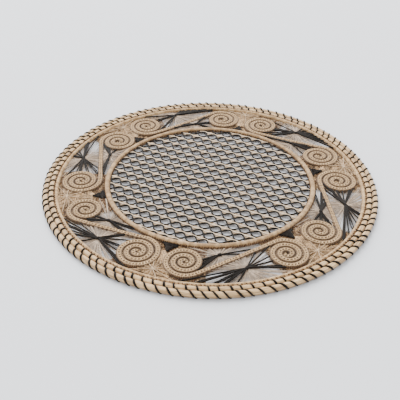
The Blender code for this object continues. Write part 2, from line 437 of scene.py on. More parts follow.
class Look(Enum):
    """What each kind of fibre on the mat is dressed in."""

    COIL = CoilFinish()
    BORDER = WrapFinish("border_wraps", flank=3.4 * MM)
    CENTRE = WrapFinish("centre_wraps", (0.68, 0.45, 0.23), (0.30, 0.17, 0.07), dash=2.2 * MM,
                        flank=5.3 * MM)
    SCROLL = WrapFinish("scroll_wraps", seam=(LOBE_POINTS + 1.5) / (2 * LOBE_POINTS + 2))
    STITCH = StrandFinish("brown_stitches", Slot.NATURAL, (0.16, 0.075, 0.03), (0.07, 0.03, 0.012))
    TICK = StrandFinish("seam_strands", Slot.NATURAL, (0.72, 0.50, 0.27), (0.42, 0.26, 0.12))
    # The lace's near-black deep tone is partly painted shade under and between its strands.
    LACE = StrandFinish("lace_strands", Slot.NATURAL, (0.74, 0.49, 0.26), (0.035, 0.016, 0.006),
                        grain=620.0)
    STAR = StrandFinish("star_strands", Slot.CREAM, (0.66, 0.49, 0.31), (0.34, 0.22, 0.12))
    PALE = StrandFinish("pale_strands", Slot.CREAM, (0.56, 0.44, 0.33), (0.27, 0.20, 0.145))
    CORD = StrandFinish("cord_strands", Slot.CREAM, (0.84, 0.69, 0.51), (0.58, 0.44, 0.30))
    DARK = StrandFinish("dark_strands", Slot.DARK, (0.012, 0.0075, 0.0045),
                        (0.004, 0.0027, 0.0017), 0.7, 0.05)
    BAND = BandFinish()

    @cache
    def material(self) -> Material:
        """The look's material, which is made once."""
        return self.value.material()


# --- shared work


def at_bearing(radius: float, bearing: float, height: float = 0.0) -> Vector:
    """The point at a radius from the mat's centre, on a bearing in degrees."""
    angle = radians(bearing)
    return Vector((radius * cos(angle), radius * sin(angle), height))


def flat(x: float, y: float) -> Vector:
    """A dataclass field that holds a point on the table, given in millimetres."""
    return field(default_factory=lambda: Vector((x * MM, y * MM, 0)))


def left_of(heading: Vector) -> Vector:
    """A heading turned left by a quarter."""
    return Vector((-heading.y, heading.x, 0))


def away(start: Vector, angle: float, run: float, aside: float = 0.0,
         up: float = 0.0) -> Vector:
    """The point a run ahead of a start, on a heading in radians, then to its left and up."""
    heading = Vector((cos(angle), sin(angle), 0))
    return start + heading * run + left_of(heading) * aside + Vector((0, 0, up))


def eased(share: float) -> float:
    """A share from 0 to 1 with soft ends."""
    return share * share * (3 - 2 * share)


def squared(value: float, power: float) -> float:
    """A sine or cosine to a power with its sign kept, which squares a round section."""
    return copysign(abs(value) ** power, value)


def mesh_from(shape: BMesh, name: str) -> Mesh:
    """Turns a shape that is ready into a mesh, and frees the shape.

    Args:
        shape: The shape.
        name: The mesh's name.

    Returns:
        The mesh.
    """
    mesh = bpy.data.meshes.new(name)
    shape.to_mesh(mesh)
    shape.free()
    return mesh


def link_mesh(name: str, mesh: Mesh, material: Material) -> Object:
    """Makes an object at the origin from a mesh, smooth and in one material.

    Args:
        name: The object's name.
        mesh: Its mesh.
        material: What it is dressed in.

    Returns:
        The object.
    """
    mesh.materials.clear()
    mesh.materials.append(material)
    mesh.polygons.foreach_set("use_smooth", [True] * len(mesh.polygons))
    piece = bpy.data.objects.new(name, mesh)
    bpy.context.scene.collection.objects.link(piece)
    return piece


def finished_piece(name: str, mesh: Mesh, look: Look,
                   stands_for: Iterable[str] = ()) -> Object:
    """Makes a piece of the mat, ties it to the frame and reports it.

    Args:
        name: The piece's name.
        mesh: Its mesh.
        look: What it is dressed in.
        stands_for: CAD nodes that it replaces.

    Returns:
        The new object.
    """
    piece = link_mesh(name, mesh, look.material())
    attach(piece, ROOT)
    names = list(stands_for)
    if names:
        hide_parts(*names)
    log.info("%s: %d faces, for %s", piece.name, len(piece.data.polygons), names or "detail")
    return piece


class Bundle:
    """Many strands of one thickness that become one mesh."""

    def __init__(self, name: str, half_width: float, sides: int) -> None:
        """Starts an empty bundle.

        Args:
            name: The piece's name.
            half_width: Half a strand's width where its scale is 1.
            sides: How many sides a strand has.
        """
        self.curve = bpy.data.curves.new(name, "CURVE")
        self.curve.dimensions = "3D"
        self.curve.bevel_depth = half_width
        self.curve.bevel_resolution = sides // 2 - 2
        self.curve.use_fill_caps = True

    def strand(self, points: Sequence[Vector], scales: Sequence[float] | float = 1.0) -> None:
        """Adds one strand through points, with one scale at each or one for all.

        Args:
            points: Its points.
            scales: How thick it is.
        """
        spline = self.curve.splines.new("POLY")
        spline.points.add(len(points) - 1)
        each = [scales] * len(points) if isinstance(scales, float) else scales
        for corner, point, scale in zip(spline.points, points, each):
            corner.co = (*point, 1.0)
            corner.radius = scale

    def ray(self, start: Vector, angle: float, first: float, last: float,
            heights: Sequence[float], scale: float = 1.0) -> None:
        """Adds a straight strand from a first to a last distance, with points at heights.

        Args:
            start: What it is measured from.
            angle: Its heading, in radians.
            first: How far ahead it starts.
            last: How far ahead it ends.
            heights: How far up each point is.
            scale: How thick it is.
        """
        steps = len(heights) - 1
        self.strand([away(start, angle, first + (last - first) * step / steps, up=up)
                     for step, up in enumerate(heights)], scale)

    def finish(self, look: Look, stands_for: Iterable[str] = ()) -> Object:
        """Makes the strands one finished piece.

        Args:
            look: What they are dressed in.
            stands_for: CAD nodes that they replace.

        Returns:
            The mesh object, at the origin.
        """
        name = self.curve.name
        guide = bpy.data.objects.new(name, self.curve)
        bpy.context.scene.collection.objects.link(guide)
        bpy.context.view_layer.update()
        shaped = guide.evaluated_get(bpy.context.evaluated_depsgraph_get())
        mesh = bpy.data.meshes.new_from_object(shaped)
        bpy.data.objects.remove(guide)
        bpy.data.curves.remove(self.curve)
        return finished_piece(name, mesh, look, stands_for)


def spun_ring(line: float, half_width: float, half_height: float, sides: int,
              steps: int) -> BMesh:
    """Spins an oval section round the mat's middle, with its foot on the table.

    Args:
        line: Radius of the ring's middle.
        half_width: Half the section's width.
        half_height: Half its height.
        sides: How many sides the section has.
        steps: How many lengths the ring has.

    Returns:
        The ring's shape, with its corners and faces in a fixed order.
    """
    shape = bmesh.new()
    stand = Matrix.Translation((line, 0, half_height)) @ Matrix.Rotation(radians(90), 4, "X")
    bmesh.ops.create_circle(shape, segments=sides, radius=half_height, matrix=stand)
    bmesh.ops.scale(shape, vec=(half_width / half_height, 1, 1), verts=shape.verts[:],
                    space=Matrix.Translation((-line, 0, 0)))
    bmesh.ops.spin(shape, geom=shape.verts[:] + shape.edges[:], axis=(0, 0, 1), cent=(0, 0, 0),
                   angle=TURN, steps=steps, use_merge=True)
    bmesh.ops.recalc_face_normals(shape, faces=shape.faces[:])
    shape.verts.sort(key=lambda vert: vert.co.dot(SORTING_SLOPE))
    shape.faces.sort(key=lambda face: face.calc_center_median().dot(SORTING_SLOPE))
    return shape


def lay_ring_map(shape: BMesh, line: float, section: float) -> None:
    """Lays a map in metres on a ring: along it, and round its section.

    Args:
        shape: The ring's shape.
        line: Radius of the ring's middle.
        section: Radius of its section.
    """
    def angles(spot: Vector) -> tuple[float, float]:
        """A spot's bearing and its angle round the section."""
        return atan2(spot.y, spot.x), atan2(spot.z - section, hypot(spot.x, spot.y) - line)

    def beside(angle: float, middle: float) -> float:
        """The same angle, less than half a turn from a face's middle."""
        return middle + (angle - middle + pi) % TURN - pi

    layer = shape.loops.layers.uv.new("UVMap")
    for face in shape.faces:
        far, turn = angles(face.calc_center_median())
        for loop in face.loops:
            bearing, here = angles(loop.vert.co)
            loop[layer].uv = (beside(bearing, far) * line, beside(here, turn) * section)


# --- rim


@dataclass(frozen=True)
class Row:
    """One row of coil: where it lies and how far its stitches lag as they go over it."""

    name: str
    line: float
    foot_lag: float
    far_lag: float
    hidden: float = 60.0

    def lag(self, angle: float) -> float:
        """How far clockwise a stitch has moved as it goes over the row.

        Args:
            angle: Angle round the section, from straight out and up over the top.

        Returns:
            The length of the lag.
        """
        turned = (degrees(angle) + self.hidden) % 360
        open_side = 360 - self.hidden
        share = turned / open_side if turned <= open_side else (360 - turned) / self.hidden
        return self.foot_lag + (self.far_lag - self.foot_lag) * share ** 0.85


@dataclass
class Rim:
    """Two rows of coil round the edge and the dark stitches that hold them."""

    outer: Row = Row("rim_outer_row", 187.0 * MM, -5.2 * MM, 6.9 * MM)
    inner: Row = Row("rim_inner_row", 180.65 * MM, 3.6 * MM, 8.8 * MM)
    half_width: float = 3.15 * MM
    half_height: float = 3.2 * MM
    squareness: float = 0.86
    stitches: int = 108
    first_bearing: float = 1.2
    steps_per_stitch: int = 8
    section_sides: int = 18
    pinch: float = 0.16
    sharpness: float = 2.8
    stitch_half_width: float = 1.0 * MM
    stitch_proud: float = 0.11
    stitch_steps: int = 12
    seed: int = 5
    shifts: list[float] = field(default_factory=list)

    def __post_init__(self) -> None:
        """Draws the small shift that the hand gave each stitch."""
        chance = random.Random(self.seed)
        self.shifts = [chance.uniform(-0.08, 0.08) for _ in range(self.stitches)]

    def stitch_bearing(self, number: int) -> float:
        """The bearing of a stitch at the mat's edge, in radians."""
        shift = self.shifts[number % self.stitches]
        return radians(self.first_bearing) + (number + shift) * TURN / self.stitches

    def skin(self, row: Row, place: float, angle: float, scale: float) -> Vector:
        """A point on a row's skin.

        Args:
            row: The row.
            place: Place along it, counted in stitches.
            angle: Angle round its section.
            scale: How full the row is there.

        Returns:
            The point.
        """
        number = floor(place)
        before, after = self.stitch_bearing(number), self.stitch_bearing(number + 1)
        turned = before + (after - before) * (place - number) - row.lag(angle) / row.line
        radius = row.line + squared(cos(angle), self.squareness) * self.half_width * scale
        height = self.half_height * (1 + squared(sin(angle), self.squareness) * scale)
        return Vector((radius * cos(turned), radius * sin(turned), height))

    def coil(self, row: Row) -> None:
        """Spins one row and pinches it at its stitches.

        Args:
            row: The row.
        """
        steps = self.stitches * self.steps_per_stitch
        shape = spun_ring(row.line, self.half_height, self.half_height, self.section_sides, steps)
        crease = shape.verts.layers.float.new("crease")
        number = shape.verts.layers.float.new("length_number")
        chance = random.Random(self.seed + 1)
        fullness = [chance.uniform(0.97, 1.03) for _ in range(self.stitches)]
        for vert in shape.verts:
            x, y, z = vert.co
            angle = atan2(z - self.half_height, hypot(x, y) - row.line)
            place = round((atan2(y, x) % TURN) / TURN * steps) % steps / self.steps_per_stitch
            from_stitch = abs(place - round(place)) * 2
            full = 1 + (fullness[floor(place) % self.stitches] - 1) * from_stitch
            depth = self.pinch * (1 - from_stitch) ** self.sharpness
            vert.co = self.skin(row, place, angle, (1 - depth) * full)
            # The crease weight places the coil's painted shade, strongest at each pinch.
            vert[crease] = (1 - from_stitch) ** 4
            vert[number] = floor(place)
        lay_ring_map(shape, row.line, self.half_height)
        finished_piece(f"{row.name}_coil", mesh_from(shape, row.name), Look.COIL, [row.name])

    def sewing(self) -> None:
        """Draws every dark stitch over both rows."""
        bundle = Bundle("rim_stitches", self.stitch_half_width, 6)
        chance = random.Random(self.seed + 2)
        for number in range(self.stitches):
            points, scales = [], []
            thick = chance.uniform(0.85, 1.15)
            for row, first, last in ((self.outer, -62, 166), (self.inner, 16, 200)):
                for step in range(self.stitch_steps + 1):
                    angle = radians(first + (last - first) * step / self.stitch_steps)
                    points.append(self.skin(row, number, angle,
                                            1 - self.pinch + self.stitch_proud))
                    scales.append(thick * (0.75 + 0.45 * abs(sin(angle + radians(30)))))
            bundle.strand(points, scales)
        bundle.finish(Look.DARK)

    def build(self) -> None:
        """Builds both rows and their stitches."""
        self.coil(self.outer)
        self.coil(self.inner)
        self.sewing()


@dataclass(frozen=True)
class Ring:
    """A wrapped cord that goes right round the mat."""

    name: str
    look: Look
    line: float
    half_width: float
    half_height: float
    steps: int = 360
    sides: int = 16

    def build(self) -> None:
        """Spins the cord in place of its solid."""
        shape = spun_ring(self.line, self.half_width, self.half_height, self.sides, self.steps)
        lay_ring_map(shape, self.line, self.half_height)
        name = f"{self.name}_skin"
        finished_piece(name, mesh_from(shape, name), self.look, [self.name])

    def beside(self, side: int, angle: float, ahead: float) -> Corner:
        """A stitch's corner on the skin, outside (1) or inside (-1), at an angle up from it."""
        across, up = cos(radians(angle)) * self.half_width, sin(radians(angle)) * self.half_height
        return self.line + side * across, ahead, self.half_height + up


@dataclass
class Rings:
    """The border round the scrolls and the ring round the net, with their sewing."""

    border: Ring = Ring("border_ring", Look.BORDER, 175.2 * MM, 2.25 * MM, 2.95 * MM)
    centre: Ring = Ring("centre_ring", Look.CENTRE, 118.2 * MM, 3.05 * MM, 3.2 * MM)
    over_border: tuple[Corner, ...] = (
        (178.2 * MM, 0.0, 5.4 * MM), (177.2 * MM, -0.2, 5.9 * MM), (176.0 * MM, -0.4, 5.9 * MM))

    @staticmethod
    def sew(bundle: Bundle, stitch: Sequence[Corner], scales: Sequence[float], count: int,
            jitter: float, chance: random.Random) -> None:
        """Repeats a short stitch round a ring, each one a little astray.

        Args:
            bundle: What the stitches join.
            stitch: The radius, degrees ahead and height of each corner.
            scales: How thick it is at each corner.
            count: How many stitches there are.
            jitter: How far one strays, as a share of its space.
            chance: The hand's small differences.
        """
        for number in range(count):
            bearing = 360 * (number + chance.uniform(-jitter, jitter)) / count
            bundle.strand([at_bearing(radius, bearing + ahead, height)
                           for radius, ahead, height in stitch], scales)

    def build(self) -> None:
        """Builds both rings, the border's stitches and the centre ring's on both sides."""
        self.border.build()
        self.centre.build()
        short = Bundle("border_stitches", 0.72 * MM, 4)
        self.sew(short, self.over_border, (0.5, 1.0, 0.5), 260, 0.12, random.Random(11))
        short.finish(Look.STITCH)
        slanted = Bundle("centre_stitches", 0.55 * MM, 4)
        chance = random.Random(12)
        for side in (-1, 1):
            stitch = [self.centre.beside(side, angle, ahead)
                      for angle, ahead in ((-30, 0.0), (-5, 0.25), (20, 0.5), (38, 0.7))]
            self.sew(slanted, stitch, (0.8, 1.0, 1.0, 0.4), 240, 0.15, chance)
        slanted.finish(Look.STITCH)


# --- scrolls


@dataclass(frozen=True)
class Spiral:
    """One spiral's place and size."""

    bearing_from_axis: float
    centre_radius: float
    outer_radius: float

    def centre(self, axis: float) -> Vector:
        """Its centre, where its pair's middle is on a bearing."""
        return at_bearing(self.centre_radius, axis + self.bearing_from_axis)


@dataclass
class Scrolls:
    """Six S-shaped scrolls of double cord, two spirals each.

    A scroll's line is a list of points, each with how full the cord is there.
    """

    width: float = 6.6 * MM
    height: float = 5.0 * MM
    solid_width: float = 6.5 * MM
    pitch: float = 7.2 * MM
    eye: float = 3.9 * MM
    steps_per_turn: int = 56
    crossing_steps: int = 14
    crossing_pinch: float = 0.86
    seam_step: float = 3.4 * MM
    edging_turns: float = 1.08
    curl_radius: float = 1.9 * MM
    curl_turns: float = 0.7
    curl_taper: float = 0.5
    clockwise: tuple[Spiral, ...] = (
        Spiral(-9.3, 148.8 * MM, 25.2 * MM),
        Spiral(-11.1, 147.6 * MM, 25.8 * MM),
        Spiral(-10.4, 149.4 * MM, 24.5 * MM),
        Spiral(-10.8, 148.8 * MM, 25.2 * MM),
        Spiral(-9.2, 146.9 * MM, 24.2 * MM),
        Spiral(-7.5, 149.4 * MM, 24.5 * MM))
    anticlockwise: tuple[Spiral, ...] = (
        Spiral(12.8, 147.7 * MM, 22.5 * MM),
        Spiral(8.5, 144.7 * MM, 24.0 * MM),
        Spiral(9.8, 146.4 * MM, 23.9 * MM),
        Spiral(11.1, 145.0 * MM, 25.2 * MM),
        Spiral(11.9, 145.8 * MM, 24.6 * MM),
        Spiral(12.7, 143.0 * MM, 24.7 * MM))

    def turns(self, centre: Vector, last_radius: float, last_angle: float) -> Line:
        """The line of a spiral that winds anticlockwise from its curled eye outwards.

        Args:
            centre: The spiral's centre.
            last_radius: Radius of the middle line where the cord leaves.
            last_angle: The angle there, in radians.

        Returns:
            The line.
        """
        steps = floor((last_radius - self.eye) / self.pitch * self.steps_per_turn)
        curl = round(self.curl_turns * self.steps_per_turn)
        placed = []
        for step in range(steps + curl, -1, -1):
            share = max(0, step - steps) / curl
            start = last_radius - min(step, steps) / self.steps_per_turn * self.pitch
            radius = start + (self.curl_radius - start) * share
            angle = last_angle - step / self.steps_per_turn * TURN
            placed.append((away(centre, angle, radius), 1 - self.curl_taper * share))
        return placed

    def line(self, pair: int) -> Line:
        """The line of the scroll that starts from a pair of spirals and ends at the next.

        Args:
            pair: The pair of spirals that it starts from.

        Returns:
            The line.
        """
        start, end = self.anticlockwise[pair], self.clockwise[(pair + 1) % PAIRS]
        axis = FIRST_PAIR_BEARING + pair * PAIR_STEP
        first, second = start.centre(axis), end.centre(axis + PAIR_STEP)
        first_radius = start.outer_radius - self.solid_width / 2
        second_radius = end.outer_radius - self.solid_width / 2
        across = second - first
        heading = atan2(across.y, across.x)
        heading += asin((first_radius + second_radius) / across.length)
        outward = self.turns(first, first_radius, heading - pi / 2)
        inward = self.turns(second, second_radius, heading + pi / 2)[::-1]
        leaves, arrives = outward[-1][0], inward[0][0]
        crossing = []
        for step in range(1, self.crossing_steps):
            share = step / self.crossing_steps
            pinch = (1 - self.crossing_pinch) * sin(pi * step / self.crossing_steps) ** 0.5
            crossing.append((leaves.lerp(arrives, share), 1 - pinch))
        return outward + crossing + inward

    def outline(self) -> list[tuple[float, float]]:
        """The double cord's section: a flat foot and two lobes with a groove between.

        Returns:
            The section's corners.
        """
        lobe = self.width / 4
        top = self.height - lobe
        points = [(0.4 * self.width, 0.0), (-0.4 * self.width, 0.0)]
        for side, first, last in ((-1, 215, 12), (1, 168, -35)):
            for step in range(LOBE_POINTS):
                angle = radians(first + (last - first) * step / (LOBE_POINTS - 1))
                points.append((side * lobe + lobe * cos(angle), top + lobe * sin(angle)))
        return points

    def cord(self, number: int, line: Line) -> None:
        """Sweeps the double cord along one scroll, with a map in metres along it.

        Args:
            number: The scroll's number.
            line: Its line.
        """
        outline = bpy.data.curves.new("scroll_outline", "CURVE")
        outline.dimensions = "2D"
        outline.fill_mode = "NONE"
        corners = outline.splines.new("POLY")
        section = self.outline()
        corners.points.add(len(section) - 1)
        for corner, (x, y) in zip(corners.points, section):
            corner.co = (x, y, 0, 1)
        corners.use_cyclic_u = True
        guide = bpy.data.objects.new("scroll_outline", outline)
        bundle = Bundle(f"scroll_{number}_cord", 0.0, 6)
        bundle.curve.twist_mode = "Z_UP"
        bundle.curve.bevel_mode = "OBJECT"
        bundle.curve.bevel_object = guide
        bundle.strand(*zip(*line))
        piece = bundle.finish(Look.SCROLL, [f"scroll_{number}"])
        bpy.data.objects.remove(guide)
        bpy.data.curves.remove(outline)
        length = sum((after - before).length for (before, _), (after, _) in zip(line, line[1:]))
        for corner in piece.data.uv_layers[0].data:
            corner.uv = (corner.uv[0] * length, corner.uv[1])

    def seams(self, lines: list[Line]) -> None:
        """Sews short pale stitches over the groove between the two cords.

        Args:
            lines: The scrolls' lines.
        """
        bundle = Bundle("scroll_seams", 0.72 * MM, 6)
        chance = random.Random(21)
        lobe = self.width / 4
        stitch = ((-0.9, -0.3), (-0.5, -0.25), (0.0, -0.75), (0.5, -0.25), (0.9, -0.3))
        for line in lines:
            walked, due = 0.0, 0.0
            for (before, scale), (after, _) in zip(line, line[1:]):
                run = after - before
                along = run.normalized()
                while due < walked + run.length:
                    middle = before + run * ((due - walked) / run.length)
                    slant = along * (chance.uniform(0.35, 0.75) * MM)
                    corners = [middle + left_of(along) * (share * lobe * scale) + slant * share
                               + Vector((0, 0, (self.height + lift * MM) * scale))
                               for share, lift in stitch]
                    bundle.strand(corners, (0.5, 0.9, 1.0, 0.9, 0.5))
                    due += self.seam_step * chance.uniform(0.85, 1.15)
                walked += run.length
        bundle.finish(Look.TICK)

    def edging(self, lines: list[Line]) -> None:
        """Sews a zigzag of fine stitches along the free side of every outermost turn.

        Args:
            lines: The scrolls' lines.
        """
        bundle = Bundle("scroll_edging", 0.42 * MM, 4)
        chance = random.Random(23)
        for line in lines:
            middle = len(line) // 2
            for first, step in ((middle - 10, -1), (middle + 10, 1)):
                corners = []
                for number in range(round(self.edging_turns * self.steps_per_turn)):
                    index = first + step * number
                    if not 0 < index < len(line) - 1:
                        break
                    out, up = (1.9, 1.6) if number % 2 else (0.1, 3.4)
                    along = (line[index + 1][0] - line[index - 1][0]).normalized()
                    gap = self.solid_width / 2 + out * MM * chance.uniform(0.8, 1.2)
                    corners.append(line[index][0] + left_of(along) * -step * gap
                                   + Vector((0, 0, up * MM)))
                bundle.strand(corners)
        bundle.finish(Look.TICK)

    def build(self) -> "Room":
        """Builds the six scrolls.

        Returns:
            The room that they leave.
        """
        lines = [self.line(pair) for pair in range(PAIRS)]
        for number, line in enumerate(lines, start=1):
            self.cord(number, line)
        self.seams(lines)
        self.edging(lines)
        return Room([[point for point, _ in line] for line in lines])


# --- fans and webs


@dataclass
class Room:
    """The free room between the cords, the border and the centre ring."""

    lines: list[list[Vector]]
    cord_half: float = 3.3 * MM
    border_inside: float = 173.0 * MM
    centre_outside: float = 121.2 * MM

    def near(self, *scrolls: int) -> "Room":
        """The same room with only the scrolls that are near."""
        return Room([self.lines[number] for number in scrolls])

    def at(self, point: Vector) -> float:
        """How far a point is from what is nearest to it.

        Args:
            point: The point.

        Returns:
            The distance, below 0 inside a cord.
        """
        radius = hypot(point.x, point.y)
        room = min(self.border_inside - radius, radius - self.centre_outside)
        for line in self.lines:
            nearest = min((other.x - point.x) ** 2 + (other.y - point.y) ** 2 for other in line)
            room = min(room, nearest ** 0.5 - self.cord_half)
        return room

    def reach(self, start: Vector, angle: float, limit: float = 70 * MM) -> float:
        """How far a strand runs before it meets a cord.

        Args:
            start: Where it leaves its knot.
            angle: Its heading, in radians.
            limit: The furthest that it may run.

        Returns:
            The length of the run.
        """
        length = 0.0
        while length < limit:
            room = self.at(away(start, angle, length))
            if room < 0.15 * MM:
                break
            length += room
        return min(length, limit)


@dataclass(frozen=True)
class Gap:
    """One gap between two pairs of spirals: its knots and its dark strands' directions.

    Directions are degrees anticlockwise from straight out.
    """

    outer_bearing: float
    outer_radius: float
    inner_bearing: float
    inner_radius: float
    outer_dark: tuple[float, ...]
    inner_dark: tuple[float, ...]


@dataclass
class Fans:
    """Fans of dark and pale strands that fill the gaps.

    A sweep of pale strands is a first and a last direction, and how many there are.
    """

    first_gap_bearing: float = FIRST_PAIR_BEARING + PAIR_STEP / 2
    dark_half: float = 0.85 * MM
    pale_half: float = 0.4 * MM
    dark_height: float = 4.9 * MM
    pale_height: float = 3.6 * MM
    knot_height: float = 4.7 * MM
    under_strands: int = 84
    under_reach: float = 46 * MM
    outer_pale: tuple[Sweep, ...] = ((12, 72, 7), (168, 254, 8))
    inner_pale: tuple[Sweep, ...] = ((-30, 76, 8), (132, 244, 6))
    gaps: tuple[Gap, ...] = (
        Gap(2.2, 158.1 * MM, -4.7, 133.5 * MM,
            (-30, -58, -67, -74, -77, -82, -92, 82, 86, 98, 112, 133, 152),
            (-37, -46, -67, 99, 104, 120)),
        Gap(1.7, 155.1 * MM, -7.4, 132.6 * MM,
            (-39, -59, -69, -80, -87, 82, 85, 102, 116, 132, 146),
            (-49, -58, -73, 94, 104)),
        Gap(1.7, 155.1 * MM, -7.3, 133.6 * MM,
            (-34, -49, -61, -71, -78, -84, 82, 87, 103, 116, 125, 130, 138),
            (-46, -51, -72, -95, 90, 100, 107, 119)),
        Gap(3.3, 158.3 * MM, -2.2, 133.1 * MM,
            (8, -18, -38, -50, -60, -68, -73, -78, -84, 88, 110, 118, 134, 143, 148),
            (-49, -62, -74, -102, 94, 102, 110)),
        Gap(5.4, 160.7 * MM, -3.5, 132.2 * MM,
            (-42, -54, -64, -73, -77, -82, -86, 79, 100, 108, 139, 148),
            (-37, -75, -88, -122, 83, 92, 101)),
        Gap(3.1, 159.2 * MM, -3.9, 132.3 * MM,
            (-9, -34, -49, -70, -75, -85, 86, 98, 106, 124, 140, 150),
            (-44, -56, -90, 102, 105, 108)))
    chance: random.Random = field(default_factory=lambda: random.Random(31))

    def wind_knot(self, dark: Bundle, centre: Vector, along: float) -> None:
        """Winds a small dark knot where the strands cross.

        Args:
            dark: The bundle that it joins.
            centre: Its middle.
            along: Its heading, in radians.
        """
        for share in (-1.0, 0.0, 1.0):
            dark.strand([away(centre, along, share * 1.1 * MM, across * MM, up * MM)
                         for across, up in ((-1.5, -0.6), (-0.8, 0.5), (0.8, 0.5), (1.5, -0.6))],
                        (0.9, 1.2, 1.2, 0.9))

    def dark_strand(self, dark: Bundle, knot: Vector, angle: float, length: float) -> None:
        """Adds a long narrow loop, or a single strand, out to a cord.

        Args:
            dark: The bundle that it joins.
            knot: Where it leaves.
            angle: Its heading, in radians.
            length: How far it is to the cord.
        """
        spread = self.chance.choice((0.0, 0.0, 0.8, 1.1)) * MM
        thick = self.chance.uniform(0.8, 1.1)
        for side in ((-1, 1) if spread else (0,)):
            points = []
            for share in (0.0, 0.15, 0.35, 0.6, 0.8, 0.93, 0.99, 1.0):
                apart = side * spread * (share ** 0.7 if share < 0.95 else (1 - share) * 14)
                height = self.dark_height - 1.2 * MM * eased(share) + side * 0.15 * MM
                points.append(away(knot, angle, (length + 0.8 * MM) * share, apart, height))
            dark.strand(points, thick)

    def pale_strand(self, pale: Bundle, knot: Vector, angle: float, length: float) -> None:
        """Adds a thin pale pair from a knot to a cord.

        Args:
            pale: The bundle that it joins.
            knot: Where it leaves.
            angle: Its heading, in radians.
            length: How far it is to the cord.
        """
        spread = self.chance.uniform(0.3, 1.0) * MM
        thick = self.chance.uniform(0.7, 1.5)
        height = self.pale_height + self.chance.uniform(-0.4, 0.4) * MM
        for side in (-1, 1):
            pale.strand([away(knot, angle, (length + 1.2 * MM) * share,
                              side * spread * eased(share), height - 0.6 * MM * share)
                         for share in (0.0, 0.2, 0.5, 0.8, 1.0)], thick)

    def fill(self, dark: Bundle, pale: Bundle, centre: Vector, directions: Sequence[float],
             sweeps: Sequence[Sweep], room: Room) -> None:
        """Fills one side of a gap from its knot.

        Args:
            dark: The dark bundle.
            pale: The pale bundle.
            centre: The knot.
            directions: Dark strands' directions, in degrees from straight out.
            sweeps: First and last direction and number of pale strands.
            room: The free room round the knot.
        """
        out = atan2(centre.y, centre.x)
        for direction in directions:
            angle = out + radians(direction)
            self.dark_strand(dark, centre, angle, room.reach(centre, angle))
        for first, last, count in sweeps:
            for number in range(count):
                stray = self.chance.uniform(-2, 2)
                angle = out + radians(first + (last - first) * number / (count - 1) + stray)
                self.pale_strand(pale, centre, angle, room.reach(centre, angle))
        for number in range(self.under_strands):
            angle = TURN * (number + self.chance.uniform(-0.3, 0.3)) / self.under_strands
            length = room.reach(centre, angle, self.under_reach) + 1.0 * MM
            low = self.chance.uniform(1.6, 2.6) * MM
            pale.strand([away(centre, angle, length * share, up=low + 0.8 * MM * (1 - share))
                         for share in (0.04, 0.5, 1.0)], (0.75, 0.85, 0.95))
        self.wind_knot(dark, centre + Vector((0, 0, self.knot_height)),
                       out + radians(directions[-1]))

    def build(self, room: Room) -> None:
        """Builds the strands of all six gaps.

        Args:
            room: The room that the scrolls leave.
        """
        for number, gap in enumerate(self.gaps, start=1):
            axis = self.first_gap_bearing + PAIR_STEP * (number - 1)
            near = room.near(number - 1)
            dark = Bundle(f"fan_strands_dark_{number}", self.dark_half, 6)
            pale = Bundle(f"fan_strands_pale_{number}", self.pale_half, 4)
            outer = at_bearing(gap.outer_radius, axis + gap.outer_bearing)
            inner = at_bearing(gap.inner_radius, axis + gap.inner_bearing)
            self.fill(dark, pale, outer, gap.outer_dark, self.outer_pale, near)
            self.fill(dark, pale, inner, gap.inner_dark, self.inner_pale, near)
            for bundle, look, tone in ((dark, Look.DARK, "dark"), (pale, Look.PALE, "pale")):
                bundle.finish(look, [f"{side}_fan_{tone}_{number}" for side in ("outer", "inner")])


